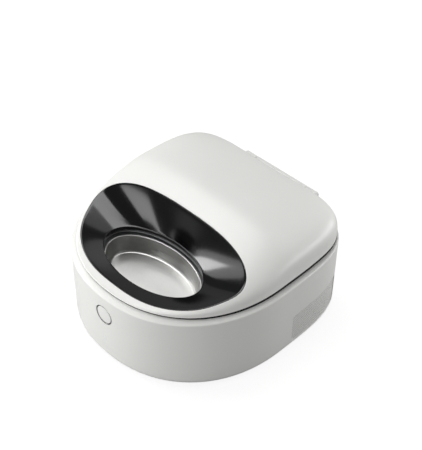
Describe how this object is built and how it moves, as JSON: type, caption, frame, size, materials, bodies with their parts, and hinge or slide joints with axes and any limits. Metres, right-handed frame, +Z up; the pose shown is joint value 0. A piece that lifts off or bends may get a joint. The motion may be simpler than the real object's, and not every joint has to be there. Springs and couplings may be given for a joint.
{
  "type": "wet food pet feeder",
  "caption": "Chilled pet feeder: rounded white base, hinged domed lid with a black funnel over an oval steel bowl, bowl turntable, shutter and cooler.",
  "frame": {"origin": "on the table under the axis of the turntable, which is also the middle of the outline", "axes": "-Y is the front with the button, +Y is the hinge side, +X is the right seen from the front, +Z is up"},
  "size_m": [0.32, 0.34, 0.176],
  "materials": {
    "white_casing": "satin white",
    "gloss_black": "polished black",
    "bowl_steel": "satin stainless steel",
    "bright_trim": "bright metal",
    "inner_grey": "matt grey",
    "dark_plastic": "matt dark grey",
    "rubber": "soft matt black",
    "foam": "closed-cell foam",
    "acetal_gear": "natural acetal",
    "aluminium": "plain metal",
    "peltier_ceramic": "white ceramic",
    "circuit_board": "green lacquer",
    "indicator_lens": "translucent white"
  },
  "bodies": {
    "base": {"base_housing": "white_casing", "base_plate": "inner_grey", "foot_1": "rubber", "foot_2": "rubber", "foot_3": "rubber", "foot_4": "rubber", "vent_grille_right": "white_casing", "vent_grille_left": "white_casing", "inner_tub": "inner_grey", "foam_insulation": "foam", "shaft_bush": "acetal_gear", "gear_housing": "dark_plastic", "tray_motor": "aluminium", "cold_plate": "aluminium", "peltier_module": "peltier_ceramic", "heat_sink": "aluminium", "fan_frame": "dark_plastic", "button_ring": "bright_trim", "indicator_lens": "indicator_lens", "button_board": "circuit_board", "button_switch": "dark_plastic", "control_board": "circuit_board", "temperature_sensor": "bright_trim", "power_inlet": "dark_plastic", "hinge_pin": "bright_trim"},
    "turntable": {"turntable_shaft": "aluminium", "drive_gear": "acetal_gear", "tray_carrier": "inner_grey", "bowl_1": "bowl_steel", "bowl_2": "bowl_steel", "bowl_3": "bowl_steel"},
    "turntable_pinion": {"tray_pinion": "acetal_gear"},
    "fan": {"fan_rotor": "dark_plastic"},
    "button": {"power_button": "white_casing"},
    "lid": {"lid_shell": "white_casing", "bezel": "gloss_black", "lid_liner": "inner_grey", "lid_seal": "rubber", "lid_hinge_barrel": "white_casing", "shutter_motor": "aluminium"},
    "shutter": {"shutter_disc": "inner_grey", "shutter_gear": "acetal_gear"},
    "shutter_drive_pinion": {"shutter_pinion": "acetal_gear"}
  },
  "joints": [
    {"name": "turntable_spin", "type": "hinge", "parent": "base", "child": "turntable", "pos_m": [0, 0, 0.07], "axis": [0, 0, 1], "continuous": true},
    {"name": "turntable_pinion_spin", "type": "hinge", "parent": "base", "child": "turntable_pinion", "pos_m": [0, -0.038, 0.06], "axis": [0, 0, 1], "continuous": true},
    {"name": "fan_spin", "type": "hinge", "parent": "base", "child": "fan", "pos_m": [0, 0.085, 0.023], "axis": [0, 0, 1], "continuous": true},
    {"name": "button_press", "type": "slide", "parent": "base", "child": "button", "axis": [0, 1, 0], "range_m": [0, 0.0012], "stiffness_N_per_m": 800, "springref_m": -0.0005},
    {"name": "lid_hinge", "type": "hinge", "parent": "base", "child": "lid", "pos_m": [0, 0.1635, 0.1242], "axis": [-1, 0, 0], "range_deg": [0, 95]},
    {"name": "shutter_turn", "type": "hinge", "parent": "lid", "child": "shutter", "pos_m": [0, 0, 0.11], "axis": [0, 0, 1], "range_deg": [0, 120]},
    {"name": "shutter_pinion_spin", "type": "hinge", "parent": "lid", "child": "shutter_drive_pinion", "pos_m": [0, 0.021, 0.138], "axis": [0, 0, 1], "range_deg": [-240, 0]}
  ],
  "couplings": [
    {"joint": "turntable_pinion_spin", "follows": "turntable_spin", "ratio": -3},
    {"joint": "shutter_pinion_spin", "follows": "shutter_turn", "ratio": -2}
  ]
}
